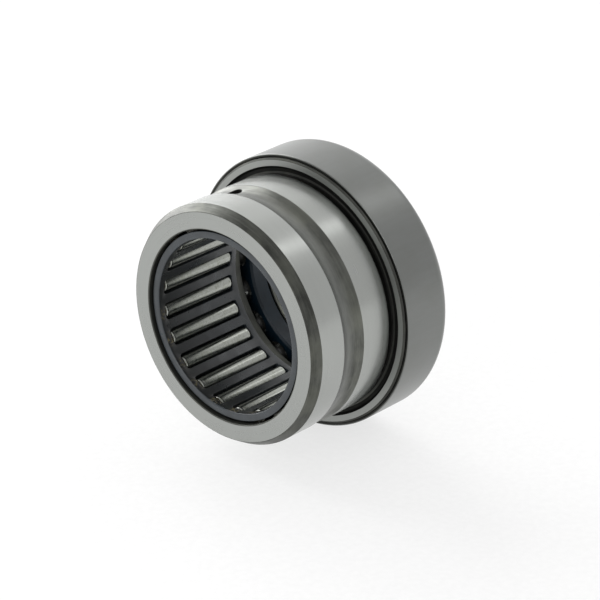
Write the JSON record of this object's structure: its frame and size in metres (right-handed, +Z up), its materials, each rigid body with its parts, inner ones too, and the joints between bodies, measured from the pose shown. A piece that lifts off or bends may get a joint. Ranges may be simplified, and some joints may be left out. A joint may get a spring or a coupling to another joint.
{
  "type": "combined needle roller and thrust ball bearing",
  "caption": "Flanged bearing for a shaft end: a caged needle roller row takes radial load and a capped ball row behind the flange takes axial load.",
  "frame": {"origin": "on the bearing's axis, at the middle of the lubrication groove in the housing seat", "axes": "+Y along the bearing's axis from the needle end to the thrust end; +Z up; the oil hole is near the top"},
  "size_m": [0.0482, 0.03, 0.0482],
  "materials": {
    "ring_steel": "ground bearing steel, fine circumferential grind; lead-in, groove and relief left dark from heat treatment",
    "cap_steel": "satin drawn sheet steel",
    "washer_steel": "ground bearing steel",
    "needle_steel": "fine-ground rollers with a film of oil",
    "ball_steel": "lapped and polished",
    "needle_cage_polymer": "moulded dark blue-grey, oiled satin",
    "thrust_cage_polymer": "moulded dark blue-grey, oiled satin"
  },
  "bodies": {
    "housing_side": {"outer_ring": "ring_steel", "end_cap": "cap_steel"},
    "shaft_washer": {"shaft_washer": "washer_steel"},
    "needle_cage": {"needle_cage": "needle_cage_polymer"},
    "thrust_cage": {"thrust_cage": "thrust_cage_polymer"},
    "needle_01": {"needle_01": "needle_steel"},
    "needle_02": {"needle_02": "needle_steel"},
    "needle_03": {"needle_03": "needle_steel"},
    "needle_04": {"needle_04": "needle_steel"},
    "needle_05": {"needle_05": "needle_steel"},
    "needle_06": {"needle_06": "needle_steel"},
    "needle_07": {"needle_07": "needle_steel"},
    "needle_08": {"needle_08": "needle_steel"},
    "needle_09": {"needle_09": "needle_steel"},
    "needle_10": {"needle_10": "needle_steel"},
    "needle_11": {"needle_11": "needle_steel"},
    "needle_12": {"needle_12": "needle_steel"},
    "needle_13": {"needle_13": "needle_steel"},
    "needle_14": {"needle_14": "needle_steel"},
    "needle_15": {"needle_15": "needle_steel"},
    "needle_16": {"needle_16": "needle_steel"},
    "needle_17": {"needle_17": "needle_steel"},
    "needle_18": {"needle_18": "needle_steel"},
    "needle_19": {"needle_19": "needle_steel"},
    "needle_20": {"needle_20": "needle_steel"},
    "needle_21": {"needle_21": "needle_steel"},
    "ball_01": {"ball_01": "ball_steel"},
    "ball_02": {"ball_02": "ball_steel"},
    "ball_03": {"ball_03": "ball_steel"},
    "ball_04": {"ball_04": "ball_steel"},
    "ball_05": {"ball_05": "ball_steel"},
    "ball_06": {"ball_06": "ball_steel"},
    "ball_07": {"ball_07": "ball_steel"},
    "ball_08": {"ball_08": "ball_steel"},
    "ball_09": {"ball_09": "ball_steel"},
    "ball_10": {"ball_10": "ball_steel"},
    "ball_11": {"ball_11": "ball_steel"},
    "ball_12": {"ball_12": "ball_steel"},
    "ball_13": {"ball_13": "ball_steel"},
    "ball_14": {"ball_14": "ball_steel"},
    "ball_15": {"ball_15": "ball_steel"},
    "ball_16": {"ball_16": "ball_steel"},
    "ball_17": {"ball_17": "ball_steel"},
    "ball_18": {"ball_18": "ball_steel"}
  },
  "joints": [
    {"name": "shaft_washer_spin", "type": "hinge", "parent": "housing_side", "child": "shaft_washer", "pos_m": [0, 0.01907, 0], "axis": [0, 1, 0], "continuous": true},
    {"name": "needle_cage_spin", "type": "hinge", "parent": "housing_side", "child": "needle_cage", "pos_m": [0, 0.00067, 0], "axis": [0, 1, 0], "continuous": true},
    {"name": "thrust_cage_spin", "type": "hinge", "parent": "housing_side", "child": "thrust_cage", "pos_m": [0, 0.01507, 0], "axis": [0, 1, 0], "continuous": true},
    {"name": "needle_01_spin", "type": "hinge", "parent": "needle_cage", "child": "needle_01", "pos_m": [-0.00416, 0.00067, 0.01597], "axis": [0, 1, 0], "continuous": true},
    {"name": "needle_02_spin", "type": "hinge", "parent": "needle_cage", "child": "needle_02", "pos_m": [-0.00868, 0.00067, 0.01403], "axis": [0, 1, 0], "continuous": true},
    {"name": "needle_03_spin", "type": "hinge", "parent": "needle_cage", "child": "needle_03", "pos_m": [-0.01243, 0.00067, 0.01085], "axis": [0, 1, 0], "continuous": true},
    {"name": "needle_04_spin", "type": "hinge", "parent": "needle_cage", "child": "needle_04", "pos_m": [-0.01508, 0.00067, 0.0067], "axis": [0, 1, 0], "continuous": true},
    {"name": "needle_05_spin", "type": "hinge", "parent": "needle_cage", "child": "needle_05", "pos_m": [-0.01638, 0.00067, 0.00196], "axis": [0, 1, 0], "continuous": true},
    {"name": "needle_06_spin", "type": "hinge", "parent": "needle_cage", "child": "needle_06", "pos_m": [-0.01623, 0.00067, -0.00295], "axis": [0, 1, 0], "continuous": true},
    {"name": "needle_07_spin", "type": "hinge", "parent": "needle_cage", "child": "needle_07", "pos_m": [-0.01464, 0.00067, -0.00761], "axis": [0, 1, 0], "continuous": true},
    {"name": "needle_08_spin", "type": "hinge", "parent": "needle_cage", "child": "needle_08", "pos_m": [-0.01175, 0.00067, -0.01159], "axis": [0, 1, 0], "continuous": true},
    {"name": "needle_09_spin", "type": "hinge", "parent": "needle_cage", "child": "needle_09", "pos_m": [-0.00781, 0.00067, -0.01453], "axis": [0, 1, 0], "continuous": true},
    {"name": "needle_10_spin", "type": "hinge", "parent": "needle_cage", "child": "needle_10", "pos_m": [-0.00318, 0.00067, -0.01619], "axis": [0, 1, 0], "continuous": true},
    {"name": "needle_11_spin", "type": "hinge", "parent": "needle_cage", "child": "needle_11", "pos_m": [0.00173, 0.00067, -0.01641], "axis": [0, 1, 0], "continuous": true},
    {"name": "needle_12_spin", "type": "hinge", "parent": "needle_cage", "child": "needle_12", "pos_m": [0.00649, 0.00067, -0.01517], "axis": [0, 1, 0], "continuous": true},
    {"name": "needle_13_spin", "type": "hinge", "parent": "needle_cage", "child": "needle_13", "pos_m": [0.01068, 0.00067, -0.01258], "axis": [0, 1, 0], "continuous": true},
    {"name": "needle_14_spin", "type": "hinge", "parent": "needle_cage", "child": "needle_14", "pos_m": [0.01391, 0.00067, -0.00888], "axis": [0, 1, 0], "continuous": true},
    {"name": "needle_15_spin", "type": "hinge", "parent": "needle_cage", "child": "needle_15", "pos_m": [0.01591, 0.00067, -0.00438], "axis": [0, 1, 0], "continuous": true},
    {"name": "needle_16_spin", "type": "hinge", "parent": "needle_cage", "child": "needle_16", "pos_m": [0.01649, 0.00067, 0.0005], "axis": [0, 1, 0], "continuous": true},
    {"name": "needle_17_spin", "type": "hinge", "parent": "needle_cage", "child": "needle_17", "pos_m": [0.01561, 0.00067, 0.00534], "axis": [0, 1, 0], "continuous": true},
    {"name": "needle_18_spin", "type": "hinge", "parent": "needle_cage", "child": "needle_18", "pos_m": [0.01334, 0.00067, 0.00971], "axis": [0, 1, 0], "continuous": true},
    {"name": "needle_19_spin", "type": "hinge", "parent": "needle_cage", "child": "needle_19", "pos_m": [0.00989, 0.00067, 0.01321], "axis": [0, 1, 0], "continuous": true},
    {"name": "needle_20_spin", "type": "hinge", "parent": "needle_cage", "child": "needle_20", "pos_m": [0.00556, 0.00067, 0.01554], "axis": [0, 1, 0], "continuous": true},
    {"name": "needle_21_spin", "type": "hinge", "parent": "needle_cage", "child": "needle_21", "pos_m": [0.00073, 0.00067, 0.01648], "axis": [0, 1, 0], "continuous": true},
    {"name": "ball_01_spin", "type": "hinge", "parent": "thrust_cage", "child": "ball_01", "pos_m": [-0.00367, 0.01507, 0.0189], "axis": [-0.1908, 0, 0.9816], "continuous": true},
    {"name": "ball_02_spin", "type": "hinge", "parent": "thrust_cage", "child": "ball_02", "pos_m": [-0.00991, 0.01507, 0.0165], "axis": [-0.515, 0, 0.8572], "continuous": true},
    {"name": "ball_03_spin", "type": "hinge", "parent": "thrust_cage", "child": "ball_03", "pos_m": [-0.01496, 0.01507, 0.01211], "axis": [-0.7771, 0, 0.6293], "continuous": true},
    {"name": "ball_04_spin", "type": "hinge", "parent": "thrust_cage", "child": "ball_04", "pos_m": [-0.0182, 0.01507, 0.00627], "axis": [-0.9455, 0, 0.3256], "continuous": true},
    {"name": "ball_05_spin", "type": "hinge", "parent": "thrust_cage", "child": "ball_05", "pos_m": [-0.01925, 0.01507, -0.00034], "axis": [-0.9998, 0, -0.0175], "continuous": true},
    {"name": "ball_06_spin", "type": "hinge", "parent": "thrust_cage", "child": "ball_06", "pos_m": [-0.01797, 0.01507, -0.0069], "axis": [-0.9336, 0, -0.3584], "continuous": true},
    {"name": "ball_07_spin", "type": "hinge", "parent": "thrust_cage", "child": "ball_07", "pos_m": [-0.01453, 0.01507, -0.01263], "axis": [-0.7547, 0, -0.6561], "continuous": true},
    {"name": "ball_08_spin", "type": "hinge", "parent": "thrust_cage", "child": "ball_08", "pos_m": [-0.00933, 0.01507, -0.01684], "axis": [-0.4848, 0, -0.8746], "continuous": true},
    {"name": "ball_09_spin", "type": "hinge", "parent": "thrust_cage", "child": "ball_09", "pos_m": [-0.00301, 0.01507, -0.01901], "axis": [-0.1564, 0, -0.9877], "continuous": true},
    {"name": "ball_10_spin", "type": "hinge", "parent": "thrust_cage", "child": "ball_10", "pos_m": [0.00367, 0.01507, -0.0189], "axis": [0.1908, 0, -0.9816], "continuous": true},
    {"name": "ball_11_spin", "type": "hinge", "parent": "thrust_cage", "child": "ball_11", "pos_m": [0.00991, 0.01507, -0.0165], "axis": [0.515, 0, -0.8572], "continuous": true},
    {"name": "ball_12_spin", "type": "hinge", "parent": "thrust_cage", "child": "ball_12", "pos_m": [0.01496, 0.01507, -0.01211], "axis": [0.7771, 0, -0.6293], "continuous": true},
    {"name": "ball_13_spin", "type": "hinge", "parent": "thrust_cage", "child": "ball_13", "pos_m": [0.0182, 0.01507, -0.00627], "axis": [0.9455, 0, -0.3256], "continuous": true},
    {"name": "ball_14_spin", "type": "hinge", "parent": "thrust_cage", "child": "ball_14", "pos_m": [0.01925, 0.01507, 0.00034], "axis": [0.9998, 0, 0.0175], "continuous": true},
    {"name": "ball_15_spin", "type": "hinge", "parent": "thrust_cage", "child": "ball_15", "pos_m": [0.01797, 0.01507, 0.0069], "axis": [0.9336, 0, 0.3584], "continuous": true},
    {"name": "ball_16_spin", "type": "hinge", "parent": "thrust_cage", "child": "ball_16", "pos_m": [0.01453, 0.01507, 0.01263], "axis": [0.7547, 0, 0.6561], "continuous": true},
    {"name": "ball_17_spin", "type": "hinge", "parent": "thrust_cage", "child": "ball_17", "pos_m": [0.00933, 0.01507, 0.01684], "axis": [0.4848, 0, 0.8746], "continuous": true},
    {"name": "ball_18_spin", "type": "hinge", "parent": "thrust_cage", "child": "ball_18", "pos_m": [0.00301, 0.01507, 0.01901], "axis": [0.1564, 0, 0.9877], "continuous": true}
  ],
  "couplings": [
    {"joint": "needle_cage_spin", "follows": "shaft_washer_spin", "ratio": 0.45454},
    {"joint": "thrust_cage_spin", "follows": "shaft_washer_spin", "ratio": 0.5},
    {"joint": "needle_01_spin", "follows": "shaft_washer_spin", "ratio": -5.4545},
    {"joint": "needle_02_spin", "follows": "shaft_washer_spin", "ratio": -5.4545},
    {"joint": "needle_03_spin", "follows": "shaft_washer_spin", "ratio": -5.4545},
    {"joint": "needle_04_spin", "follows": "shaft_washer_spin", "ratio": -5.4545},
    {"joint": "needle_05_spin", "follows": "shaft_washer_spin", "ratio": -5.4545},
    {"joint": "needle_06_spin", "follows": "shaft_washer_spin", "ratio": -5.4545},
    {"joint": "needle_07_spin", "follows": "shaft_washer_spin", "ratio": -5.4545},
    {"joint": "needle_08_spin", "follows": "shaft_washer_spin", "ratio": -5.4545},
    {"joint": "needle_09_spin", "follows": "shaft_washer_spin", "ratio": -5.4545},
    {"joint": "needle_10_spin", "follows": "shaft_washer_spin", "ratio": -5.4545},
    {"joint": "needle_11_spin", "follows": "shaft_washer_spin", "ratio": -5.4545},
    {"joint": "needle_12_spin", "follows": "shaft_washer_spin", "ratio": -5.4545},
    {"joint": "needle_13_spin", "follows": "shaft_washer_spin", "ratio": -5.4545},
    {"joint": "needle_14_spin", "follows": "shaft_washer_spin", "ratio": -5.4545},
    {"joint": "needle_15_spin", "follows": "shaft_washer_spin", "ratio": -5.4545},
    {"joint": "needle_16_spin", "follows": "shaft_washer_spin", "ratio": -5.4545},
    {"joint": "needle_17_spin", "follows": "shaft_washer_spin", "ratio": -5.4545},
    {"joint": "needle_18_spin", "follows": "shaft_washer_spin", "ratio": -5.4545},
    {"joint": "needle_19_spin", "follows": "shaft_washer_spin", "ratio": -5.4545},
    {"joint": "needle_20_spin", "follows": "shaft_washer_spin", "ratio": -5.4545},
    {"joint": "needle_21_spin", "follows": "shaft_washer_spin", "ratio": -5.4545},
    {"joint": "ball_01_spin", "follows": "shaft_washer_spin", "ratio": -3.2337},
    {"joint": "ball_02_spin", "follows": "shaft_washer_spin", "ratio": -3.2337},
    {"joint": "ball_03_spin", "follows": "shaft_washer_spin", "ratio": -3.2337},
    {"joint": "ball_04_spin", "follows": "shaft_washer_spin", "ratio": -3.2337},
    {"joint": "ball_05_spin", "follows": "shaft_washer_spin", "ratio": -3.2337},
    {"joint": "ball_06_spin", "follows": "shaft_washer_spin", "ratio": -3.2337},
    {"joint": "ball_07_spin", "follows": "shaft_washer_spin", "ratio": -3.2337},
    {"joint": "ball_08_spin", "follows": "shaft_washer_spin", "ratio": -3.2337},
    {"joint": "ball_09_spin", "follows": "shaft_washer_spin", "ratio": -3.2337},
    {"joint": "ball_10_spin", "follows": "shaft_washer_spin", "ratio": -3.2337},
    {"joint": "ball_11_spin", "follows": "shaft_washer_spin", "ratio": -3.2337},
    {"joint": "ball_12_spin", "follows": "shaft_washer_spin", "ratio": -3.2337},
    {"joint": "ball_13_spin", "follows": "shaft_washer_spin", "ratio": -3.2337},
    {"joint": "ball_14_spin", "follows": "shaft_washer_spin", "ratio": -3.2337},
    {"joint": "ball_15_spin", "follows": "shaft_washer_spin", "ratio": -3.2337},
    {"joint": "ball_16_spin", "follows": "shaft_washer_spin", "ratio": -3.2337},
    {"joint": "ball_17_spin", "follows": "shaft_washer_spin", "ratio": -3.2337},
    {"joint": "ball_18_spin", "follows": "shaft_washer_spin", "ratio": -3.2337}
  ]
}
